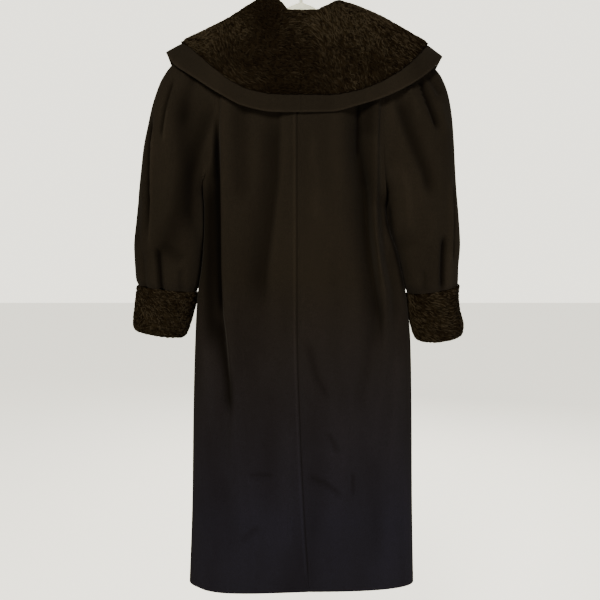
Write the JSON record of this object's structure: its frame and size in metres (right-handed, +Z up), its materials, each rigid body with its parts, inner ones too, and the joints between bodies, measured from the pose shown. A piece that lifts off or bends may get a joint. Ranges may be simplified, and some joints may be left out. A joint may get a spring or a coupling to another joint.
{
  "type": "long coat with a fur shawl collar on a coat hanger",
  "caption": "Long dark wool coat with a wide curly-fur shawl collar and fur cuffs, seen from the back and hanging open-necked on a plain plastic hanger.",
  "frame": {"origin": "inside top of the hanger's hook, where a rail or a wall hook carries it", "axes": "+Z up, +X to the wearer's right, +Y to the front of the coat, so the back faces -Y"},
  "size_m": [0.6955, 0.1456, 1.2807],
  "materials": {
    "wool": "felted",
    "fur": "curly",
    "hanger_plastic": "satin",
    "button_horn": "polished"
  },
  "bodies": {
    "root": {"back_left": "wool", "back_right": "wool", "front_left": "wool", "front_right": "wool", "sleeve_left": "wool", "sleeve_right": "wool", "cuff_left": "fur", "cuff_right": "fur", "collar_fur_left": "fur", "collar_fur_right": "fur", "collar_band_left": "wool", "collar_band_right": "wool", "button_1": "button_horn", "button_2": "button_horn", "button_3": "button_horn", "hanger": "hanger_plastic"}
  },
  "joints": []
}
